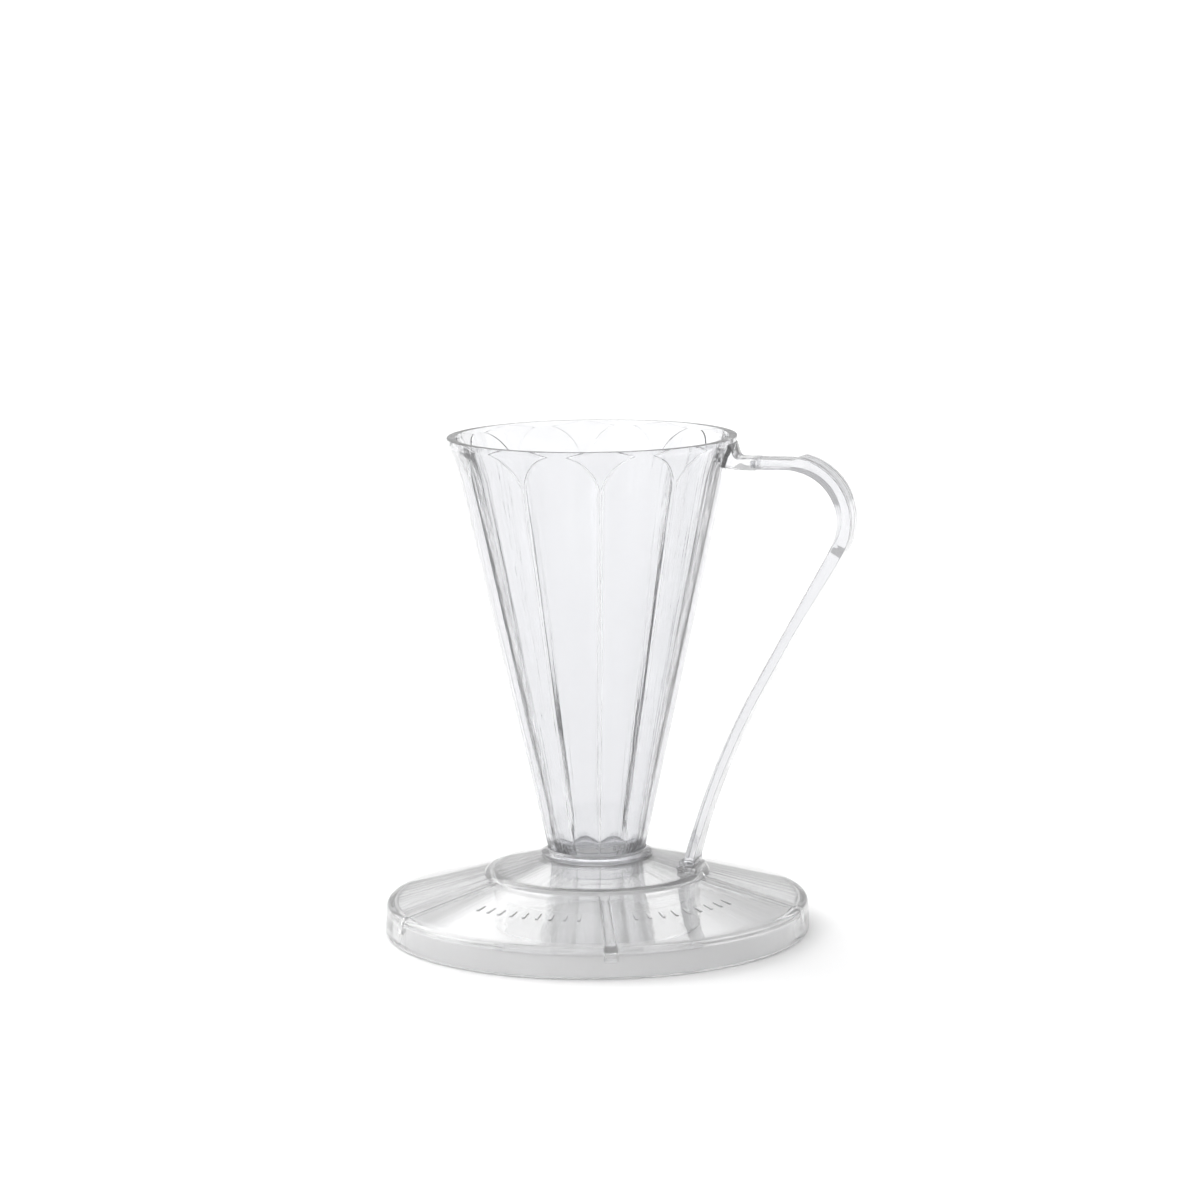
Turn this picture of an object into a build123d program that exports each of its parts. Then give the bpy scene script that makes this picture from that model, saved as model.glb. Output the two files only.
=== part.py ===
from build123d import *
import os
from math import atan2, cos, degrees, radians, sin

# A clear one-cup pour over dripper: a steep fluted cone with a strap handle, seated on a saucer.
# Millimetres. Origin on the cone's axis in the plane of the saucer's foot, +X to the handle, +Z up.

# Driving dimensions.
saucer_radius = 49.0
total_height = 114.4
rim_radius = 33.0
petal_count = 10
rib_count = 5
running_gap = 0.06

# Saucer.
foot_round = 0.8
edge_radius = 48.6
edge_height = 7.1
edge_round = 1.3
skirt_wall = 2.6
plate_thickness = 2.0
hub_radius = 26.0
hub_foot = 13.4
shoulder_radius = 25.4
shoulder_height = 14.43
shoulder_round = 2.4
hub_crown = 17.5
hub_thickness = 2.1
rib_width = 3.0
rib_depth = 0.9
rib_toe = 3.6

# Ring that drops into the mouth of a mug or server.
ring_radius = 23.7
ring_wall = 2.2
ring_step = 7.8
ring_neck = 0.3
ring_seat = 13.3

# Cone.
cone_slope = 0.2203
cone_offset = 7.04
petal_wall = 1.9
ridge_wall = 3.1
rim_wall = 1.9
flange_radius = 12.9
flange_height = 1.3
spigot_radius = 10.6
spigot_foot = 13.0
outlet_radius = 8.2
rim_band = 1.0
rim_chamfer = 0.6
cusp_height = 100.0
flare_start = 107.0
flare_wall = 2.6
arch_height = 113.4
flare_height = 110.0
scoop_low = 20.0
scoop_high = 116.0
seat_gap = 0.05

# Lug on the rim, and the pocket in its end for the handle's tongue.
lug_width = 8.2
lug_tip = 38.8
lug_crown = 110.1
lug_foot = 107.6
lug_shoulder = 34.0
lug_heel = 34.4
lug_root = 108.3
lug_fillet = 1.0
tongue_length = 1.4
tongue_width = 5.0
tongue_thickness = 1.2

# Handle, its foot and its socket on the hub.
strap_width = 8.0
strap_thickness = 2.2
strap_height = 108.9
bend_centre = 45.8
bend_radius = 12.6
bend_turn = 119.0
grip_width = 9.2
grip_pad = 0.7
straight_length = 36.5
foot_turn = 14.6
foot_sweep_radius = 179.0
peg_centre = 22.2
peg_width = 5.6
peg_thickness = 1.9
peg_foot = 13.9
strap_foot = 16.3
foot_length = 3.6
foot_width = 9.0
foot_height_above = 1.2
socket_length = 5.0
socket_width = 9.6
socket_corner = 1.6
socket_rise = 16.2

# Raised tick marks on the saucer, in place of lettering.
tick_count = 9
tick_radius = 36.0
tick_pitch = 5.0
tick_length = 2.6
tick_width = 0.8
tick_height = 0.35
row_spread = 30.0

petal_angle = 360 / petal_count
front_rib = -360 / rib_count
overlap = 1.0


def cone_radius(height):
    """Outside radius of the cone at a height."""
    return cone_offset + cone_slope * height


def plate_surface(radius):
    """Height of the saucer's top at a radius."""
    fall = (hub_foot - edge_height) / (edge_radius - hub_radius)
    return hub_foot - fall * (radius - hub_radius)


def scoop_radius(height):
    """Radius of the circle through a petal's middle and its two ridges."""
    half_pitch = radians(petal_angle / 2)
    middle = cone_radius(height) - petal_wall
    ridge = cone_radius(height) - ridge_wall
    half_width = ridge * sin(half_pitch)
    sagitta = middle - ridge * cos(half_pitch)
    return (half_width**2 + sagitta**2) / (2 * sagitta)


# Saucer: foot skirt, sloping plate, raised hub and the ribs moulded under the plate.
bore_radius = spigot_radius + running_gap
skirt_inside = saucer_radius - skirt_wall
collar_inside = ring_radius - ring_neck
with BuildPart() as base_plate:
    with BuildSketch(Plane.XZ) as saucer_section:
        with BuildLine():
            Polyline(
                (skirt_inside, 0),
                (saucer_radius, 0),
                (edge_radius, edge_height),
                (hub_radius, hub_foot),
                (shoulder_radius, shoulder_height),
                (flange_radius, hub_crown),
                (bore_radius, hub_crown),
                (bore_radius, hub_crown - hub_thickness),
                (flange_radius, hub_crown - hub_thickness),
                (collar_inside, ring_seat),
                (collar_inside, plate_surface(collar_inside) - plate_thickness),
                (skirt_inside, plate_surface(skirt_inside) - plate_thickness),
                close=True,
            )
        make_face()
        for corner, radius in (
            ((saucer_radius, 0), foot_round),
            ((edge_radius, edge_height), edge_round),
            ((shoulder_radius, shoulder_height), shoulder_round),
        ):
            fillet(saucer_section.vertices().sort_by_distance(corner)[0], radius)
    revolve(axis=Axis.Z)
    # One low rib under the plate and down the skirt, repeated round the axis.
    with BuildSketch(Plane.XZ.offset(-rib_width / 2)) as rib_section:
        with BuildLine():
            Polyline(
                (collar_inside + overlap, plate_surface(collar_inside) - overlap),
                (skirt_inside + overlap, plate_surface(skirt_inside) - overlap),
                (skirt_inside + overlap, rib_toe),
                (skirt_inside - rib_depth, rib_toe),
                (skirt_inside - rib_depth, plate_surface(skirt_inside) - plate_thickness - rib_depth),
                (collar_inside + overlap, plate_surface(collar_inside) - plate_thickness - rib_depth),
                close=True,
            )
        make_face()
    rib = extrude(amount=rib_width, mode=Mode.PRIVATE)
    with PolarLocations(0, rib_count):
        add(rib)
    # Socket pad for the handle's peg, low on the hub's edge.
    with BuildSketch(Plane.XY.offset(ring_seat)):
        with Locations((peg_centre, 0)):
            RectangleRounded(socket_length, socket_width, socket_corner)
    extrude(amount=socket_rise - ring_seat)
    with BuildSketch(Plane.XY.offset(peg_foot - running_gap)):
        with Locations((peg_centre, 0)):
            Rectangle(peg_thickness + 2 * running_gap, peg_width + 2 * running_gap)
    extrude(amount=socket_rise, mode=Mode.SUBTRACT)
    # Two short rows of raised ticks on the plate, either side of the front rib.
    for middle in (front_rib - row_spread, front_rib + row_spread):
        for step in range(tick_count):
            angle = middle + (step - (tick_count - 1) / 2) * tick_pitch
            with BuildSketch(Plane.XY.offset(plate_surface(tick_radius) - overlap)):
                with PolarLocations(tick_radius, 1, start_angle=angle):
                    SlotOverall(tick_length, tick_width)
            extrude(amount=overlap + tick_height)

# Locating ring: a tube whose neck is pressed up into the collar.
with BuildPart() as locating_ring:
    with BuildSketch(Plane.XZ):
        with BuildLine():
            Polyline(
                (ring_radius - ring_wall, 0),
                (ring_radius, 0),
                (ring_radius, ring_step),
                (collar_inside, ring_step),
                (collar_inside, ring_seat),
                (ring_radius - ring_wall, ring_seat),
                close=True,
            )
        make_face()
    revolve(axis=Axis.Z)

# Cone: straight outside wall with a flange and spigot at its foot and the handle's lug on its rim.
foot_height = hub_crown + seat_gap
with BuildPart() as brewing_cone:
    with BuildSketch(Plane.XZ):
        with BuildLine():
            Polyline(
                (0, spigot_foot),
                (spigot_radius, spigot_foot),
                (spigot_radius, foot_height),
                (flange_radius, foot_height),
                (flange_radius, foot_height + flange_height / 2),
                (cone_radius(foot_height + flange_height), foot_height + flange_height),
                (cone_radius(flare_height), flare_height),
                (rim_radius, total_height - rim_band),
                (rim_radius - rim_chamfer, total_height),
                (0, total_height),
                close=True,
            )
        make_face()
    revolve(axis=Axis.Z)
    with BuildSketch(Plane.XZ) as lug_section:
        with BuildLine():
            Polyline(
                (spigot_radius, lug_root),
                (spigot_radius, total_height - rim_band),
                (rim_radius, total_height - rim_band),
                (lug_shoulder, lug_crown),
                (lug_tip, lug_crown),
                (lug_tip, lug_foot),
                (lug_heel, lug_foot),
                (cone_radius(lug_root), lug_root),
                close=True,
            )
        make_face()
        fillet(lug_section.vertices().sort_by_distance((lug_shoulder, lug_crown))[0], lug_fillet)
    extrude(amount=lug_width / 2, both=True)
    # Cavity: a bore for the outlet, the ridges' line, then a flare that rounds the petals' tops.
    with BuildSketch(Plane.XZ):
        with BuildLine():
            Polyline(
                (0, spigot_foot - overlap),
                (outlet_radius, spigot_foot - overlap),
                (outlet_radius, foot_height + flange_height),
                (cone_radius(cusp_height) - ridge_wall, cusp_height),
                (cone_radius(flare_start) - flare_wall, flare_start),
                (cone_radius(arch_height) - petal_wall, arch_height),
                (rim_radius - rim_wall, total_height),
                (rim_radius - rim_wall, total_height + overlap),
                (0, total_height + overlap),
                close=True,
            )
        make_face()
    revolve(axis=Axis.Z, mode=Mode.SUBTRACT)
    # Each scoop is a slim cone leaning with the wall, so that neighbours meet in a ridge.
    low_radius, high_radius = scoop_radius(scoop_low), scoop_radius(scoop_high)
    low_centre = cone_radius(scoop_low) - petal_wall - low_radius
    high_centre = cone_radius(scoop_high) - petal_wall - high_radius
    lean = degrees(atan2(high_centre - low_centre, scoop_high - scoop_low))
    with Locations((0, 0, scoop_low)):
        with PolarLocations(low_centre, petal_count, start_angle=petal_angle / 2):
            Cone(
                low_radius,
                high_radius,
                (scoop_high - scoop_low) / cos(radians(lean)),
                rotation=(0, lean, 0),
                align=(Align.CENTER, Align.CENTER, Align.MIN),
                mode=Mode.SUBTRACT,
            )
    # Pocket for the handle's tongue.
    with Locations((lug_tip, 0, strap_height)):
        Box(
            tongue_length,
            tongue_width + 2 * running_gap,
            tongue_thickness + 2 * running_gap,
            align=(Align.MAX, Align.CENTER, Align.CENTER),
            mode=Mode.SUBTRACT,
        )

# Handle: a flat strap that leaves the rim level, turns down in one bend and leans in to the hub.
with BuildPart() as handle:
    with BuildSketch(Plane.XZ):
        with BuildLine():
            top = Line((lug_tip, strap_height), (bend_centre, strap_height))
            bend = JernArc(top @ 1, top % 1, bend_radius, -bend_turn)
            straight = PolarLine(bend @ 1, straight_length, direction=bend % 1)
            JernArc(straight @ 1, straight % 1, foot_sweep_radius, foot_turn)
        trace(line_width=strap_thickness)
    extrude(amount=strap_width / 2, both=True)
    # Grip: the bend is a little wider, with a pad on its outside for the thumb.
    with BuildSketch(Plane.XZ):
        with BuildLine():
            JernArc(
                (bend_centre, strap_height + grip_pad / 2),
                (1, 0),
                bend_radius + grip_pad / 2,
                -bend_turn,
            )
        trace(line_width=strap_thickness + grip_pad)
    extrude(amount=grip_width / 2, both=True)
    # The foot is cut level above the socket block and carries the peg.
    with Locations((peg_centre, 0, strap_foot)):
        Box(
            socket_width,
            socket_width,
            socket_width,
            align=(Align.CENTER, Align.CENTER, Align.MAX),
            mode=Mode.SUBTRACT,
        )
        Box(
            foot_length,
            foot_width,
            foot_height_above,
            align=(Align.CENTER, Align.CENTER, Align.MIN),
        )
    with Locations((peg_centre, 0, peg_foot)):
        Box(
            peg_thickness,
            peg_width,
            strap_foot - peg_foot,
            align=(Align.CENTER, Align.CENTER, Align.MIN),
        )
    # Tongue into the lug's pocket.
    with Locations((lug_tip, 0, strap_height)):
        Box(
            tongue_length - running_gap,
            tongue_width,
            tongue_thickness,
            align=(Align.MAX, Align.CENTER, Align.CENTER),
        )

os.makedirs("parts", exist_ok=True)
for name, piece in {
    "base_plate": base_plate,
    "locating_ring": locating_ring,
    "brewing_cone": brewing_cone,
    "handle": handle,
}.items():
    piece.part.label = name
    export_step(piece.part, f"parts/{name}.step")
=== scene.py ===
from math import asin, atan2, cos, degrees, pi, radians, sin, sqrt, tan

import bmesh
import bpy
from mathutils import Matrix, Vector


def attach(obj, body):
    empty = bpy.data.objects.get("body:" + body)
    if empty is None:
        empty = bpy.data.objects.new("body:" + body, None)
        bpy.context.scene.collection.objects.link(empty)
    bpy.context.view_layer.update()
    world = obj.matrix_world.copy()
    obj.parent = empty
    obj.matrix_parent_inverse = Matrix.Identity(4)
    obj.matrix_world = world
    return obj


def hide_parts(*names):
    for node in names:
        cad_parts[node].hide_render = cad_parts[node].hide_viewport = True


# A clear one-cup pour over dripper. The dripper's lengths are millimetres until MM turns them into
# metres; the floor's, the lamp's and the materials' lengths are metres.
MM = 0.001

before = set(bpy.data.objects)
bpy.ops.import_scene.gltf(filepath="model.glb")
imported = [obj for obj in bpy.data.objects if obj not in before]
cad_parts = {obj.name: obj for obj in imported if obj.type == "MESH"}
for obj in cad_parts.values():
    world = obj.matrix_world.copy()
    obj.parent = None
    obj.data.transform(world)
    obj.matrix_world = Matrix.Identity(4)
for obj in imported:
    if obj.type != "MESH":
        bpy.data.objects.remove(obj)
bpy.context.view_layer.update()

# The camera stands 900 mm from the cone's axis, a little to the handle's side, and looks slightly down.
CAMERA_AZIMUTH = 14.5
CAMERA_DISTANCE = 900.2
CAMERA_HEIGHT = 219.0
CAMERA_PITCH = 8.99
CAMERA_YAW = -0.09
CAMERA_ROLL = -0.68
LENS = 119.7

# Driving sizes, the same as the CAD part's.
SAUCER_RADIUS = 49.0
TOTAL_HEIGHT = 114.4
RIM_RADIUS = 33.0
PETALS = 10
RIBS = 5

# Faces that meet at more than this angle, in degrees, keep a crisp edge between them.
CREASE = 32

# Corner radii that many of the mouldings' edges share.
CRISP = 0.15
SLIGHT = 0.3
EASED = 0.5

# How far a cutter or a joining block runs past the face it goes through.
OVERRUN = 1

# Saucer.
FOOT_ROUND = 0.8
EDGE_RADIUS = 48.6
EDGE_HEIGHT = 7.1
EDGE_ROUND = 1.3
SKIRT_WALL = 2.6
SKIRT_FILLET = 1.4
PLATE = 2.0
HUB_RADIUS = 26.0
HUB_FOOT = 13.4
SHOULDER_RADIUS = 25.4
SHOULDER_HEIGHT = 14.43
SHOULDER_ROUND = 2.4
HUB_CROWN = 17.5
HUB_PLATE = 2.1
HUB_FOOT_ROUND = 0.25
RIB_WIDTH = 2.4
RIB_WIDTH_OUT = 3.2
RIB_DEPTH = 0.8
RIB_TOE = 3.6
RIB_EASE = 0.5
RIB_START = 0.4
RIB_FULL = 1.5
BORE_RADIUS = 10.66
BORE_ROUND = 0.2

# Locating ring.
RING_RADIUS = 23.7
RING_WALL = 2.2
RING_STEP = 7.8
RING_NECK = 0.3
RING_SEAT = 13.3
RING_SIDE_ROOM = 0.03
RING_TOP_ROOM = 0.05
RING_NECK_ROUND = 0.1
RING_COLUMNS = 240

# Cone.
CONE_SLOPE = 0.2203
CONE_OFFSET = 7.04
PETAL_WALL = 1.9
RIDGE_WALL = 3.1
RIM_WALL = 1.9
RIM_ROUND = 0.12
RIM_FOOT = 113.4
FLANGE_RADIUS = 12.9
FLANGE_HEIGHT = 1.3
FLANGE_EDGE = 0.7
FLANGE_FOOT_ROUND = 0.25
WALL_START = 20.2
SPIGOT_RADIUS = 10.6
SPIGOT_FOOT = 13.0
OUTLET_RADIUS = 8.2
CUSP_HEIGHT = 100.5
ARCH_HEIGHT = 113.5
ARCH_POWER = 2.1
FLARE_HEIGHT = 105.0
BEAD_WIDTH = 0.65
BEAD_HEIGHT = 0.3
PETAL_FOOT = 19.0
PETAL_FULL = 30.0
PETAL_BLEND_START = 0.5
PETAL_BLEND_END = 3
SEAT = 17.55

# Lug on the rim, and the pocket in its end for the handle's tongue.
LUG_WIDTH = 8.2
LUG_TIP = 38.8
LUG_CROWN = 110.1
LUG_FOOT = 107.6
LUG_SHOULDER = 34.0
LUG_HEEL = 34.4
LUG_ROOT = 108.3
LUG_SINK = 0.9
LUG_HEEL_ROUND = 0.8
LUG_SHOULDER_ROUND = 1.1
LUG_RIM_DROP = 1.0
LUG_RIM_ROUND = 0.6
LUG_RIM_SINK = 1.0
LUG_RIM_CROWN = 0.7
LUG_SIDE_ROUND = 0.2
TONGUE_LENGTH = 1.4
TONGUE_WIDTH = 5.0
TONGUE_THICKNESS = 1.2
TONGUE_ROUND = 0.1
GAP = 0.06

# Handle.
STRAP_WIDTH = 8.0
STRAP_THICKNESS = 2.2
STRAP_ROUND = 0.16
STRAP_HEIGHT = 108.9
STRAP_START = 0.05
BEND_CENTRE = 45.8
BEND_RADIUS = 12.6
BEND_TURN = 119.0
STRAIGHT_LENGTH = 36.5
FOOT_SWEEP_RADIUS = 179.0
FOOT_TURN = 14.6
FOOT_FLARE_START = 26
FOOT_FLARE_FULL = 18.5
GRIP_WIDTH = 9.2
GRIP_PAD = 0.9
GRIP_HEEL = 0.85
GRIP_FADE = 68.0
PEG_CENTRE = 22.2
PEG_WIDTH = 5.6
PEG_THICKNESS = 1.9
PEG_FOOT = 13.9
STRAP_FOOT = 16.3
STRAP_FOOT_ROOM = 0.4
PEG_SINK = 0.5
FOOT_LENGTH = 3.6
FOOT_WIDTH = 9.0
FOOT_BLOCK = 1.2
FOOT_BLOCK_ROUND = 0.4
SOCKET_LENGTH = 5.0
SOCKET_WIDTH = 9.6
SOCKET_RISE = 16.2
SOCKET_SINK = 0.2
SOCKET_PAD_ROUND = 0.7

# Raised ticks on the saucer.
TICKS = 9
TICK_RADIUS = 36.0
TICK_PITCH = 5.0
TICK_LENGTH = 2.6
TICK_WIDTH = 0.8
TICK_HEIGHT = 0.2
ROW_SPREAD = 30.0


def smooth(low, high, value):
    """0 below low, 1 above high, and an even ease between."""
    t = min(max((value - low) / (high - low), 0.0), 1.0)
    return t * t * (3 - 2 * t)


def mix(a, b, t):
    return a + (b - a) * t


def make_piece(name, rows, body, material, nodes, close_rows=True, close_columns=True, caps=False):
    """A mesh skinned over rows of points, each row a ring of (x, y, z) in millimetres."""
    mesh = bpy.data.meshes.new(name)
    width = len(rows[0])
    vertices = [(x * MM, y * MM, z * MM) for row in rows for x, y, z in row]
    faces = []
    for i in range(len(rows) if close_rows else len(rows) - 1):
        a, b = i * width, (i + 1) % len(rows) * width
        for j in range(width if close_columns else width - 1):
            k = (j + 1) % width
            faces.append((a + j, a + k, b + k, b + j))
    if caps:
        faces.append(tuple(reversed(range(width))))
        faces.append(tuple(range((len(rows) - 1) * width, len(rows) * width)))
    mesh.from_pydata(vertices, [], faces)
    shape = bmesh.new()
    shape.from_mesh(mesh)
    bmesh.ops.remove_doubles(shape, verts=shape.verts, dist=1e-7)
    bmesh.ops.recalc_face_normals(shape, faces=shape.faces)
    shape.to_mesh(mesh)
    shape.free()
    mesh.polygons.foreach_set("use_smooth", [True] * len(mesh.polygons))
    piece = bpy.data.objects.new(name, mesh)
    bpy.context.scene.collection.objects.link(piece)
    mesh.materials.append(material)
    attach(piece, body)
    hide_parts(*nodes)
    return piece


def carve(piece, other, operation):
    """Joins another solid to a piece, or cuts it away, and removes the other."""
    tool = piece.modifiers.new("carve", "BOOLEAN")
    tool.operation = operation
    tool.solver = "MANIFOLD"
    tool.object = other
    bpy.context.view_layer.update()
    shaped = piece.evaluated_get(bpy.context.evaluated_depsgraph_get())
    mesh = bpy.data.meshes.new_from_object(shaped)
    piece.modifiers.clear()
    piece.data = mesh
    mesh.polygons.foreach_set("use_smooth", [True] * len(mesh.polygons))
    mesh.set_sharp_from_angle(angle=radians(CREASE))
    bpy.data.objects.remove(other)


def solid(faces_from):
    """A loose solid for carve(): faces_from fills a bmesh in millimetres."""
    shape = bmesh.new()
    faces_from(shape)
    bmesh.ops.scale(shape, verts=shape.verts, vec=(MM, MM, MM))
    bmesh.ops.recalc_face_normals(shape, faces=shape.faces)
    mesh = bpy.data.meshes.new("tool")
    shape.to_mesh(mesh)
    shape.free()
    tool = bpy.data.objects.new("tool", mesh)
    bpy.context.scene.collection.objects.link(tool)
    return tool


def block(low, high, corner=0.0, turn=0.0, slope=0.0):
    """A box between two corners, with rounded edges.

    It is sloped down outwards by an angle in radians, then turned about the axis by one in degrees.
    """

    def fill(shape):
        bmesh.ops.create_cube(shape, size=1.0)
        size = [b - a for a, b in zip(low, high)]
        middle = [(a + b) / 2 for a, b in zip(low, high)]
        bmesh.ops.scale(shape, verts=shape.verts, vec=size)
        if corner > 0:
            edges = list(shape.edges)
            bmesh.ops.bevel(shape, geom=edges, offset=corner, segments=5, profile=0.5, affect="EDGES")
        tilt = Matrix.Rotation(slope, 3, "Y")
        bmesh.ops.rotate(shape, verts=shape.verts, cent=(0, 0, 0), matrix=tilt)
        bmesh.ops.translate(shape, verts=shape.verts, vec=middle)
        swing = Matrix.Rotation(radians(turn), 3, "Z")
        bmesh.ops.rotate(shape, verts=shape.verts, cent=(0, 0, 0), matrix=swing)

    return solid(fill)


def slab(outline, half_width, corner):
    """A profile in the handle's plane, given thickness across it, with both faces' edges rounded."""

    def fill(shape):
        near = [shape.verts.new((x, -half_width, z)) for x, z in outline]
        face = shape.faces.new(near)
        far = bmesh.ops.extrude_face_region(shape, geom=[face])
        moved = [item for item in far["geom"] if isinstance(item, bmesh.types.BMVert)]
        bmesh.ops.translate(shape, verts=moved, vec=(0, 2 * half_width, 0))
        edges = [e for e in shape.edges if abs(e.verts[0].co.y - e.verts[1].co.y) < half_width]
        bmesh.ops.bevel(shape, geom=edges, offset=corner, segments=3, profile=0.5, affect="EDGES")

    return solid(fill)


def rounded(corners, steps=6):
    """A closed outline from (radius, height, corner radius) corners: each corner becomes a fine arc."""
    outline = []
    count = len(corners)
    for i, (x, z, corner) in enumerate(corners):
        here = Vector((x, z))
        before = (Vector(corners[i - 1][:2]) - here).normalized()
        after = (Vector(corners[(i + 1) % count][:2]) - here).normalized()
        turn = before.angle(after)
        if corner <= 0 or turn > radians(178):
            outline.append((x, z))
            continue
        reach = corner / tan(turn / 2)
        middle = here + (before + after).normalized() * corner / sin(turn / 2)
        start, end = here + before * reach - middle, here + after * reach - middle
        sweep = start.angle_signed(end)
        for k in range(steps + 1):
            spoke = start.copy()
            spoke.rotate(Matrix.Rotation(-sweep * k / steps, 2))
            outline.append(tuple(middle + spoke))
    return outline


def spread(outline, longest):
    """The same outline with its long stretches cut into lengths of at most longest."""
    result = []
    for i, (x, z) in enumerate(outline):
        x2, z2 = outline[(i + 1) % len(outline)]
        cuts = max(1, int(sqrt((x2 - x) ** 2 + (z2 - z) ** 2) / longest) + 1)
        result += [(mix(x, x2, k / cuts), mix(z, z2, k / cuts)) for k in range(cuts)]
    return result


# ---------------------------------------------------------------- materials


REFRACTIVE_INDEX = 1.5
# The moulding's flow lines: how fast they change with height, their fineness and how deep they look.
FLOW_RISE = 1.5
FLOW_DETAIL = 2.0
FLOW_DEPTH = 0.0004
# The soft patches where the polish is duller, and how rough they get.
HAZE_SCALE = 90.0
HAZE_DETAIL = 5.0
HAZE_FROM = 0.35
HAZE_TO = 0.8
HAZE_ROUGHNESS = 0.035
# How much of the tint is left where it is deepest.
DEEP_TINT = 0.985


def clear_plastic(name, tint, waviness, wave_size, haze_share):
    """Clear moulded plastic: refracting and polished, with faint flow lines and a small milky share."""
    material = bpy.data.materials.new(name)
    material.use_nodes = True
    nodes, links = material.node_tree.nodes, material.node_tree.links
    shader = nodes["Principled BSDF"]
    shader.inputs["Transmission Weight"].default_value = 1.0 - haze_share
    shader.inputs["IOR"].default_value = REFRACTIVE_INDEX
    place = nodes.new("ShaderNodeTexCoord")
    # Flow lines of the moulding: fine round the axis, long up and down.
    level = nodes.new("ShaderNodeVectorMath")
    level.operation = "MULTIPLY"
    level.inputs[1].default_value = (1, 1, 0)
    links.new(place.outputs["Object"], level.inputs[0])
    round_axis = nodes.new("ShaderNodeVectorMath")
    round_axis.operation = "NORMALIZE"
    links.new(level.outputs["Vector"], round_axis.inputs[0])
    stretch = nodes.new("ShaderNodeVectorMath")
    stretch.operation = "MULTIPLY_ADD"
    stretch.inputs[1].default_value = (0, 0, FLOW_RISE)
    links.new(place.outputs["Object"], stretch.inputs[0])
    links.new(round_axis.outputs["Vector"], stretch.inputs[2])
    waves = nodes.new("ShaderNodeTexNoise")
    waves.inputs["Scale"].default_value = wave_size
    waves.inputs["Detail"].default_value = FLOW_DETAIL
    links.new(stretch.outputs["Vector"], waves.inputs["Vector"])
    bump = nodes.new("ShaderNodeBump")
    bump.inputs["Strength"].default_value = waviness
    bump.inputs["Distance"].default_value = FLOW_DEPTH
    links.new(waves.outputs["Fac"], bump.inputs["Height"])
    links.new(bump.outputs["Normal"], shader.inputs["Normal"])
    # Handling haze: the polish is a little duller in soft patches.
    haze = nodes.new("ShaderNodeTexNoise")
    haze.inputs["Scale"].default_value = HAZE_SCALE
    haze.inputs["Detail"].default_value = HAZE_DETAIL
    links.new(place.outputs["Object"], haze.inputs["Vector"])
    dull = nodes.new("ShaderNodeMapRange")
    dull.inputs["From Min"].default_value = HAZE_FROM
    dull.inputs["From Max"].default_value = HAZE_TO
    dull.inputs["To Min"].default_value = 0.0
    dull.inputs["To Max"].default_value = HAZE_ROUGHNESS
    links.new(haze.outputs["Fac"], dull.inputs["Value"])
    links.new(dull.outputs["Result"], shader.inputs["Roughness"])
    # The tint is a shade deeper in patches.
    colour = nodes.new("ShaderNodeMix")
    colour.data_type = "RGBA"
    colour.inputs["A"].default_value = (*tint, 1)
    colour.inputs["B"].default_value = (*(DEEP_TINT * c for c in tint), 1)
    links.new(waves.outputs["Fac"], colour.inputs["Factor"])
    links.new(colour.outputs["Result"], shader.inputs["Base Color"])
    return material


cone_plastic = clear_plastic("cone_clear_plastic", (0.885, 0.888, 0.902), 0.4, 16.0, 0.06)
saucer_plastic = clear_plastic("saucer_clear_plastic", (0.995, 0.996, 1.0), 0.1, 14.0, 0.14)
handle_plastic = clear_plastic("handle_clear_plastic", (0.75, 0.753, 0.772), 0.2, 30.0, 0.05)

# ---------------------------------------------------------------- brewing cone

HALF_PITCH = 180 / PETALS
RIDGE_LAND = 16.5
SCOOP_COLUMNS = 14
LAND_COLUMNS = 8
HALF_COLUMNS = SCOOP_COLUMNS + LAND_COLUMNS


def cone_radius(z):
    return CONE_OFFSET + CONE_SLOPE * z


def outer_radius(z):
    """Outside radius of the cone, with the rim's near-upright band."""
    flare = RIM_RADIUS - cone_radius(RIM_FOOT)
    return cone_radius(z) + flare * (max(z - FLARE_HEIGHT, 0.0) / (RIM_FOOT - FLARE_HEIGHT)) ** 2


def petal_depth(z):
    """How much of the petals' full depth there is at a height: none in the outlet, all of it above."""
    return smooth(PETAL_FOOT, PETAL_FULL, z)


def scoop_radius_at(offset, z):
    """Inside radius of a petal, offset degrees from its middle."""
    middle = outer_radius(z) - PETAL_WALL
    ridge = outer_radius(z) - mix(PETAL_WALL, RIDGE_WALL, petal_depth(z))
    half = radians(HALF_PITCH)
    half_width = ridge * sin(half)
    sagitta = middle - ridge * cos(half)
    circle = (half_width**2 + sagitta**2) / (2 * sagitta)
    centre = middle - circle
    angle = radians(offset)
    return centre * cos(angle) + sqrt(circle**2 - (centre * sin(angle)) ** 2)


def arch_edge(z):
    """Half-angle of a petal at a height, where its round top narrows."""
    t = min(max((ARCH_HEIGHT - z) / (ARCH_HEIGHT - CUSP_HEIGHT), 0.0), 1.0)
    return min(RIDGE_LAND, HALF_PITCH * (1 - (1 - t) ** ARCH_POWER) ** (1 / ARCH_POWER))


def bead_height(past_edge, z):
    """Height of the fine raised line that outlines every petal, a little past the petal's edge."""
    across = 2 * radians(past_edge) * cone_radius(z) / BEAD_WIDTH - 1
    return BEAD_HEIGHT * max(0.0, 1 - across**2) ** 0.5


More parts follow.
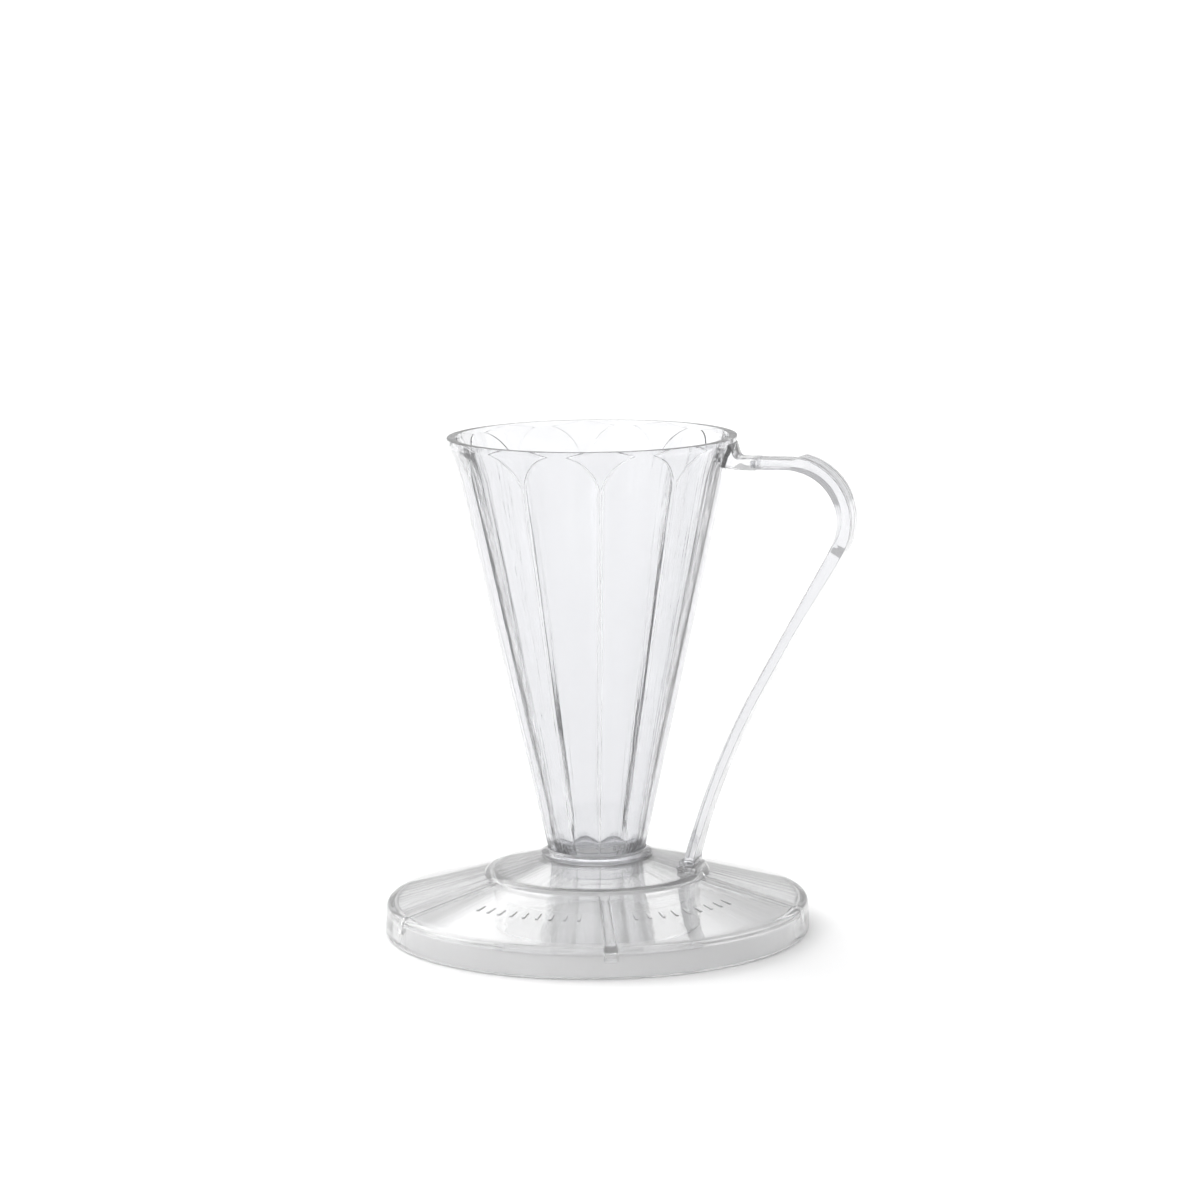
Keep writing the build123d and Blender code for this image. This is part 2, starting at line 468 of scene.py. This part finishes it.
def inner_row(z):
    """One ring of the inside wall: scooped petals between flat lands or the flare over them."""
    edge = arch_edge(z)
    blend = smooth(SEAT + PETAL_BLEND_START, PETAL_FOOT + PETAL_BLEND_END, z)
    row = []
    for petal in range(PETALS):
        middle = (petal + 0.5) * 2 * HALF_PITCH
        for side in (-1, 1):
            for k in range(HALF_COLUMNS):
                step = HALF_COLUMNS - k if side < 0 else k
                bead = min(degrees(BEAD_WIDTH / cone_radius(z)), HALF_PITCH - edge)
                if step <= SCOOP_COLUMNS:
                    offset = edge * step / SCOOP_COLUMNS
                elif step < HALF_COLUMNS:
                    offset = edge + bead * (step - SCOOP_COLUMNS) / (LAND_COLUMNS - 1)
                else:
                    offset = HALF_PITCH
                radius = scoop_radius_at(min(offset, edge), z) - bead_height(offset - edge, z) * blend
                radius = mix(OUTLET_RADIUS, radius, blend)
                angle = radians(middle + side * offset)
                row.append((radius * cos(angle), radius * sin(angle), z))
    return row


def plain_row(radius, z):
    """One plain ring in step with the inside wall's columns."""
    row = []
    for petal in range(PETALS):
        middle = (petal + 0.5) * 2 * HALF_PITCH
        for side in (-1, 1):
            for k in range(HALF_COLUMNS):
                step = HALF_COLUMNS - k if side < 0 else k
                spoke = radians(middle + side * HALF_PITCH * step / HALF_COLUMNS)
                row.append((radius * cos(spoke), radius * sin(spoke), z))
    return row


def heights(low, high, pitch):
    """Evenly spaced heights from low up to, but not including, high."""
    count = max(1, round((high - low) / pitch))
    return [mix(low, high, k / count) for k in range(count)]


def brewing_cone():
    rows = []
    foot = rounded(
        [
            (OUTLET_RADIUS, SPIGOT_FOOT, SLIGHT),
            (SPIGOT_RADIUS, SPIGOT_FOOT, EASED),
            (SPIGOT_RADIUS, SEAT, 0.0),
            (FLANGE_RADIUS, SEAT, FLANGE_FOOT_ROUND),
            (FLANGE_RADIUS, SEAT + FLANGE_EDGE, EASED),
            (cone_radius(SEAT + FLANGE_HEIGHT) + 0.1, SEAT + FLANGE_HEIGHT, EASED),
            (cone_radius(24), 24, 0.0),
            (OUTLET_RADIUS, 24, 0.0),
        ]
    )
    # The foot's last two corners only steer its outline. The last number in each line below is the
    # spacing of the rows.
    rows += [plain_row(r, z) for r, z in spread(foot[:-2], 1.0)[:-1]]
    rows += [plain_row(outer_radius(z), z) for z in heights(WALL_START, FLARE_HEIGHT, 1.5)]
    rows += [plain_row(outer_radius(z), z) for z in heights(FLARE_HEIGHT, RIM_FOOT, 0.5)]
    rim_inside = RIM_RADIUS - RIM_WALL
    rim = rounded(
        [
            (RIM_RADIUS, RIM_FOOT, 0),
            (RIM_RADIUS, TOTAL_HEIGHT, RIM_ROUND),
            (rim_inside, TOTAL_HEIGHT, RIM_ROUND),
            (rim_inside, RIM_FOOT, 0),
        ]
    )
    rows += [plain_row(r, z) for r, z in rim[:-1]]
    rows += [inner_row(z) for z in reversed(heights(CUSP_HEIGHT - 0.5, ARCH_HEIGHT - 0.02, 0.2))]
    rows += [inner_row(z) for z in reversed(heights(PETAL_FULL, CUSP_HEIGHT - 0.5, 1.2))]
    rows += [inner_row(z) for z in reversed(heights(SEAT, PETAL_FULL, 0.5))]
    rows += [plain_row(OUTLET_RADIUS, z) for z in reversed(heights(SPIGOT_FOOT + 0.5, SEAT, 1.0))]
    cone = make_piece("fluted_cone", rows, "dripper", cone_plastic, ["brewing_cone"])
    lug = rounded(
        [
            (cone_radius(LUG_ROOT) - LUG_SINK, LUG_ROOT, 0),
            (LUG_HEEL, LUG_FOOT, LUG_HEEL_ROUND),
            (LUG_TIP, LUG_FOOT, CRISP),
            (LUG_TIP, LUG_CROWN, CRISP),
            (LUG_SHOULDER, LUG_CROWN, LUG_SHOULDER_ROUND),
            (RIM_RADIUS, TOTAL_HEIGHT - LUG_RIM_DROP, LUG_RIM_ROUND),
            (RIM_RADIUS - LUG_RIM_SINK, TOTAL_HEIGHT - LUG_RIM_CROWN, 0),
        ]
    )
    carve(cone, slab(lug, LUG_WIDTH / 2, LUG_SIDE_ROUND), "UNION")
    pocket = block(
        (LUG_TIP - TONGUE_LENGTH, -TONGUE_WIDTH / 2 - GAP, STRAP_HEIGHT - TONGUE_THICKNESS / 2 - GAP),
        (LUG_TIP + OVERRUN, TONGUE_WIDTH / 2 + GAP, STRAP_HEIGHT + TONGUE_THICKNESS / 2 + GAP),
    )
    carve(cone, pocket, "DIFFERENCE")


brewing_cone()

# ---------------------------------------------------------------- saucer


RIB_PITCH = 360 / RIBS
# The fine columns reach past a rib's edge to this many times its half width.
RIB_MARGIN = 1.2
RIB_COLUMNS = 24
SECTOR_COLUMNS = 96


def plate_surface(radius):
    fall = (HUB_FOOT - EDGE_HEIGHT) / (EDGE_RADIUS - HUB_RADIUS)
    return HUB_FOOT - fall * (radius - HUB_RADIUS)


def rib_half_width(radius):
    return mix(RIB_WIDTH, RIB_WIDTH_OUT, smooth(RING_RADIUS, EDGE_RADIUS, radius)) / 2


def saucer_angles(radius):
    """Angles of the saucer's columns at a radius: close together across each rib, even between ribs."""
    half = RIB_COLUMNS // 2
    reach = degrees(asin(RIB_MARGIN * rib_half_width(radius) / radius))
    open_columns = SECTOR_COLUMNS - RIB_COLUMNS
    angles = []
    for rib in range(RIBS):
        start = rib * RIB_PITCH
        angles += [start + reach * k / half for k in range(-half, half)]
        end = start + RIB_PITCH - reach
        angles += [mix(start + reach, end, k / open_columns) for k in range(open_columns)]
    return angles


def rib_swell(radius, angle):
    """How far a half-round rib stands proud of the plate's underside at a point."""
    near = (angle + RIB_PITCH / 2) % RIB_PITCH - RIB_PITCH / 2
    across = abs(radius * sin(radians(near))) / rib_half_width(radius)
    return RIB_DEPTH * max(0.0, 1 - across**2) ** 0.5


def saucer():
    skirt_inside = SAUCER_RADIUS - SKIRT_WALL
    collar_inside = RING_RADIUS - RING_NECK
    under_skirt = plate_surface(skirt_inside) - PLATE
    under_collar = plate_surface(collar_inside) - PLATE
    section = rounded(
        [
            (skirt_inside, 0, SLIGHT),
            (SAUCER_RADIUS, 0, FOOT_ROUND),
            (EDGE_RADIUS, EDGE_HEIGHT, EDGE_ROUND),
            (HUB_RADIUS, HUB_FOOT, HUB_FOOT_ROUND),
            (SHOULDER_RADIUS, SHOULDER_HEIGHT, SHOULDER_ROUND),
            (FLANGE_RADIUS, HUB_CROWN, 0.0),
            (BORE_RADIUS, HUB_CROWN, BORE_ROUND),
            (BORE_RADIUS, HUB_CROWN - HUB_PLATE, BORE_ROUND),
            (FLANGE_RADIUS, HUB_CROWN - HUB_PLATE, 0.0),
            (collar_inside, RING_SEAT, 0.0),
            (collar_inside, under_collar, SLIGHT),
            (skirt_inside, under_skirt, SKIRT_FILLET),
        ]
    )
    section = spread(section, 0.8)
    count = len(section)
    rows = []
    for i, (radius, z) in enumerate(section):
        before, after = section[i - 1], section[(i + 1) % count]
        along = Vector((after[0] - before[0], after[1] - before[1])).normalized()
        outward = Vector((along.y, -along.x))
        # Only the underside of the plate carries ribs, between the collar and the skirt.
        inside_skirt = collar_inside + RIB_START < radius < skirt_inside + 0.05
        under = inside_skirt and z < plate_surface(radius) - 0.9 * PLATE
        strength = smooth(collar_inside + RIB_START, collar_inside + RIB_FULL, radius)
        strength *= smooth(RIB_TOE - RIB_EASE, RIB_TOE + RIB_EASE, z)
        row = []
        for angle in saucer_angles(radius):
            swell = rib_swell(radius, angle) * strength if under else 0.0
            r, h = radius + outward.x * swell, z + outward.y * swell
            row.append((r * cos(radians(angle)), r * sin(radians(angle)), h))
        rows.append(row)
    piece = make_piece("saucer", rows, "saucer", saucer_plastic, ["base_plate"])
    half_length, half_width = SOCKET_LENGTH / 2, SOCKET_WIDTH / 2
    pad = block(
        (PEG_CENTRE - half_length, -half_width, RING_SEAT + SOCKET_SINK),
        (PEG_CENTRE + half_length, half_width, SOCKET_RISE),
        SOCKET_PAD_ROUND,
    )
    carve(piece, pad, "UNION")
    socket = block(
        (PEG_CENTRE - PEG_THICKNESS / 2 - GAP, -PEG_WIDTH / 2 - GAP, PEG_FOOT - GAP),
        (PEG_CENTRE + PEG_THICKNESS / 2 + GAP, PEG_WIDTH / 2 + GAP, SOCKET_RISE + 2 * OVERRUN),
    )
    carve(piece, socket, "DIFFERENCE")
    base = plate_surface(TICK_RADIUS)
    slope = atan2(HUB_FOOT - EDGE_HEIGHT, EDGE_RADIUS - HUB_RADIUS)
    for middle in (-RIB_PITCH - ROW_SPREAD, -RIB_PITCH + ROW_SPREAD):
        for step in range(TICKS):
            tick = block(
                (TICK_RADIUS - TICK_LENGTH / 2, -TICK_WIDTH / 2, base - OVERRUN),
                (TICK_RADIUS + TICK_LENGTH / 2, TICK_WIDTH / 2, base + TICK_HEIGHT),
                CRISP,
                middle + (step - (TICKS - 1) / 2) * TICK_PITCH,
                slope,
            )
            carve(piece, tick, "UNION")


saucer()


def ring_tube():
    neck = RING_RADIUS - RING_NECK - RING_SIDE_ROOM
    top = RING_SEAT - RING_TOP_ROOM
    section = rounded(
        [
            (RING_RADIUS - RING_WALL, 0, EASED),
            (RING_RADIUS, 0, EASED),
            (RING_RADIUS, RING_STEP, CRISP),
            (neck, RING_STEP, RING_NECK_ROUND),
            (neck, top, SLIGHT),
            (RING_RADIUS - RING_WALL, top, SLIGHT),
        ]
    )
    spokes = [2 * pi * k / RING_COLUMNS for k in range(RING_COLUMNS)]
    rows = []
    for radius, z in spread(section, 1.2):
        rows.append([(radius * cos(spoke), radius * sin(spoke), z) for spoke in spokes])
    make_piece(
        "server_ring", rows, "saucer", saucer_plastic, ["locating_ring"]
    )


ring_tube()

# ---------------------------------------------------------------- handle


BEND_END = STRAP_HEIGHT - BEND_RADIUS + BEND_RADIUS * cos(radians(BEND_TURN))
BEND_STEPS = 96
SWEEP_STEPS = 56
# The grip pad swells over these degrees of the bend, and ends between these depths below the bend's end.
PAD_SWELL = (2, 14)
PAD_END = (-0.4, 1.2)
# Above this height the strap is at the pad's start, and below it at the pad's end.
BEND_MIDDLE = 100
# Points on each rounded corner of the strap's section, and the cuts in its wide and narrow faces.
ARC_POINTS = 5
WIDE_CUTS = 10
NARROW_CUTS = 3


def strap_path():
    """Stations down the handle's middle line: (x, z, direction in degrees)."""
    stations = []
    for x in heights(LUG_TIP + STRAP_START, BEND_CENTRE, 0.5):
        stations.append((x, STRAP_HEIGHT, 0.0))
    centre_z = STRAP_HEIGHT - BEND_RADIUS
    for k in range(BEND_STEPS + 1):
        turn = BEND_TURN * k / BEND_STEPS
        out, up = BEND_RADIUS * sin(radians(turn)), BEND_RADIUS * cos(radians(turn))
        stations.append((BEND_CENTRE + out, centre_z + up, -turn))
    x, z, heading = stations[-1]
    for s in heights(0, STRAIGHT_LENGTH, 0.8)[1:]:
        stations.append((x + s * cos(radians(heading)), z + s * sin(radians(heading)), heading))
    x += STRAIGHT_LENGTH * cos(radians(heading))
    z += STRAIGHT_LENGTH * sin(radians(heading))
    middle_x = x - FOOT_SWEEP_RADIUS * sin(radians(heading))
    middle_z = z + FOOT_SWEEP_RADIUS * cos(radians(heading))
    for k in range(SWEEP_STEPS):
        turn = heading + FOOT_TURN * k / SWEEP_STEPS
        x = middle_x + FOOT_SWEEP_RADIUS * sin(radians(turn))
        z = middle_z - FOOT_SWEEP_RADIUS * cos(radians(turn))
        if z > STRAP_FOOT + STRAP_FOOT_ROOM:
            stations.append((x, z, turn))
    return stations


def strap_section(width, inner, outer, corner):
    """Rounded rectangle across the strap, as (across, outwards) points from its middle line."""
    half = width / 2
    corners = [(-half, -inner), (half, -inner), (half, outer), (-half, outer)]
    outline = rounded([(across, out, corner) for across, out in corners], ARC_POINTS - 1)
    points = []
    for i, (across, outwards) in enumerate(outline):
        points.append((across, outwards))
        if i % ARC_POINTS == ARC_POINTS - 1:
            next_across, next_outwards = outline[(i + 1) % len(outline)]
            cuts = WIDE_CUTS if i % (2 * ARC_POINTS) == ARC_POINTS - 1 else NARROW_CUTS
            for k in range(1, cuts):
                t = k / cuts
                points.append((mix(across, next_across, t), mix(outwards, next_outwards, t)))
    return points


def strap():
    rows = []
    for x, z, heading in strap_path():
        along = radians(heading)
        grip = smooth(*PAD_SWELL, -heading) if z > BEND_MIDDLE else 1 - smooth(*PAD_END, BEND_END - z)
        foot = smooth(FOOT_FLARE_START, FOOT_FLARE_FULL, z)
        width = mix(STRAP_WIDTH, GRIP_WIDTH, max(grip, foot))
        heel = GRIP_HEEL * smooth(GRIP_FADE, BEND_END + 1, z) * (1 - grip) if heading < -90 else 0.0
        outer = STRAP_THICKNESS / 2 + GRIP_PAD * grip + heel
        section = strap_section(width, STRAP_THICKNESS / 2, outer, STRAP_ROUND)
        rows.append([(x - out * sin(along), across, z + out * cos(along)) for across, out in section])
    piece = make_piece(
        "strap_handle",
        rows,
        "dripper",
        handle_plastic,
        ["handle"],
        close_rows=False,
        caps=True,
    )
    tongue = block(
        (LUG_TIP - TONGUE_LENGTH + GAP, -TONGUE_WIDTH / 2, STRAP_HEIGHT - TONGUE_THICKNESS / 2),
        (LUG_TIP + OVERRUN, TONGUE_WIDTH / 2, STRAP_HEIGHT + TONGUE_THICKNESS / 2),
        TONGUE_ROUND,
    )
    carve(piece, tongue, "UNION")
    foot = block(
        (PEG_CENTRE - FOOT_LENGTH / 2, -FOOT_WIDTH / 2, STRAP_FOOT),
        (PEG_CENTRE + FOOT_LENGTH / 2, FOOT_WIDTH / 2, STRAP_FOOT + FOOT_BLOCK),
        FOOT_BLOCK_ROUND,
    )
    carve(piece, foot, "UNION")
    peg = block(
        (PEG_CENTRE - PEG_THICKNESS / 2, -PEG_WIDTH / 2, PEG_FOOT),
        (PEG_CENTRE + PEG_THICKNESS / 2, PEG_WIDTH / 2, STRAP_FOOT + PEG_SINK),
        SLIGHT,
    )
    carve(piece, peg, "UNION")


strap()

# ---------------------------------------------------------------- floor, light and camera


# The room: a dim grey shell, with soft boxes given as
# (azimuth, elevation, half width, half height, strength). Angles are in degrees, and azimuths go
# clockwise, seen from above, from straight behind the dripper as the camera sees it.
ROOM = 0.62
SOFT_BOXES = (
    (-65, 38, 26, 26, 1.3),
    (-30, 44, 34, 12, 2.2),
    (-150, 30, 16, 22, 1.0),
    (130, 12, 34, 18, 0.5),
    (80, 25, 6, 25, 0.9),
    (0, 88, 20, 20, 0.85),
)
# How far each soft box's edge fades, either way, as the sine of an angle.
BOX_EDGE = 0.06

FLOOR_REACH = 100.0
FLOOR_DROP = 0.0002
FLOOR_WHITE = 0.95


def studio_floor():
    floor = bpy.data.meshes.new("floor")
    reach = FLOOR_REACH
    corners = [(-reach, -reach, 0), (reach, -reach, 0), (reach, reach, 0), (-reach, reach, 0)]
    floor.from_pydata(corners, [], [(0, 1, 2, 3)])
    material = bpy.data.materials.new("pale_floor")
    material.use_nodes = True
    shader = material.node_tree.nodes["Principled BSDF"]
    shader.inputs["Base Color"].default_value = (FLOOR_WHITE, FLOOR_WHITE, FLOOR_WHITE, 1)
    shader.inputs["Roughness"].default_value = 0.9
    shader.inputs["Specular IOR Level"].default_value = 0.1
    floor.materials.append(material)
    plane = bpy.data.objects.new("floor", floor)
    plane.location.z = -FLOOR_DROP
    bpy.context.scene.collection.objects.link(plane)


def room_direction(azimuth, elevation):
    """A direction in the room from its azimuth and elevation, in degrees."""
    turn, rise = radians(azimuth - CAMERA_AZIMUTH), radians(elevation)
    return Vector((sin(turn) * cos(rise), cos(turn) * cos(rise), sin(rise)))


def studio_sky():
    """A dim grey room with soft boxes round the dripper."""
    world = bpy.data.worlds.new("studio")
    bpy.context.scene.world = world
    world.use_nodes = True
    nodes, links = world.node_tree.nodes, world.node_tree.links
    background = nodes["Background"]
    place = nodes.new("ShaderNodeTexCoord")

    def along(axis):
        dot = nodes.new("ShaderNodeVectorMath")
        dot.operation = "DOT_PRODUCT"
        dot.inputs[1].default_value = axis
        links.new(place.outputs["Generated"], dot.inputs[0])
        return dot.outputs["Value"]

    def maths(operation, first, second):
        node = nodes.new("ShaderNodeMath")
        node.operation = operation
        for socket, value in zip(node.inputs, (first, second)):
            if isinstance(value, (int, float)):
                socket.default_value = value
            else:
                links.new(value, socket)
        return node.outputs["Value"]

    def within(value, half, edge):
        """1 while value is between -half and half, easing to 0 over an edge."""
        span = nodes.new("ShaderNodeMapRange")
        span.interpolation_type = "SMOOTHSTEP"
        span.inputs["From Min"].default_value = half + edge
        span.inputs["From Max"].default_value = half - edge
        links.new(maths("ABSOLUTE", value, 0.0), span.inputs["Value"])
        return span.outputs["Result"]

    total = maths("ADD", ROOM, 0.0)
    for azimuth, elevation, half_width, half_height, strength in SOFT_BOXES:
        middle = room_direction(azimuth, elevation)
        across = room_direction(azimuth + 90, 0)
        upward = room_direction(azimuth, elevation + 90)
        facing = maths("GREATER_THAN", along(middle), 0.0)
        width = within(along(across), sin(radians(half_width)), BOX_EDGE)
        height = within(along(upward), sin(radians(half_height)), BOX_EDGE)
        shape = maths("MULTIPLY", maths("MULTIPLY", width, height), facing)
        total = maths("ADD", total, maths("MULTIPLY", shape, strength))
    links.new(total, background.inputs["Strength"])
    background.inputs["Color"].default_value = (1, 1, 1, 1)


# A spot high behind the dripper puts a pool of extra light on the floor there, to the handle's side.
# The place is how far right and how far behind it is, and the reach is the beam's half angle.
POOL_PLACE = (0.34, 0.72)
POOL_HEIGHT = 3.0
POOL_REACH = 7.5
POOL_POWER = 60.0


def floor_pool():
    light = bpy.data.lights.new("floor_pool", "SPOT")
    light.energy = POOL_POWER
    light.spot_size = radians(2 * POOL_REACH)
    light.spot_blend = 1.0
    light.shadow_soft_size = 0.1
    lamp = bpy.data.objects.new("floor_pool", light)
    right, behind = POOL_PLACE
    lamp.location = room_direction(90, 0) * right + room_direction(0, 0) * behind
    lamp.location.z = POOL_HEIGHT
    bpy.context.scene.collection.objects.link(lamp)


def studio_camera():
    data = bpy.data.cameras.new("camera")
    data.lens = LENS
    data.sensor_width = 36.0
    data.clip_start, data.clip_end = 0.05, 300.0
    camera = bpy.data.objects.new("camera", data)
    bpy.context.scene.collection.objects.link(camera)
    azimuth = radians(CAMERA_AZIMUTH)
    place = Vector((CAMERA_DISTANCE * sin(azimuth), -CAMERA_DISTANCE * cos(azimuth), CAMERA_HEIGHT)) * MM
    turn = Matrix.Rotation(radians(CAMERA_AZIMUTH + CAMERA_YAW), 4, "Z")
    tilt = Matrix.Rotation(radians(90 - CAMERA_PITCH), 4, "X")
    roll = Matrix.Rotation(radians(CAMERA_ROLL), 4, "Z")
    camera.matrix_world = Matrix.Translation(place) @ turn @ tilt @ roll
    bpy.context.scene.camera = camera


studio_floor()
studio_sky()
floor_pool()
studio_camera()
bpy.context.scene.view_settings.view_transform = "Standard"
bpy.context.scene.cycles.max_bounces = 32
bpy.context.scene.cycles.transmission_bounces = 32
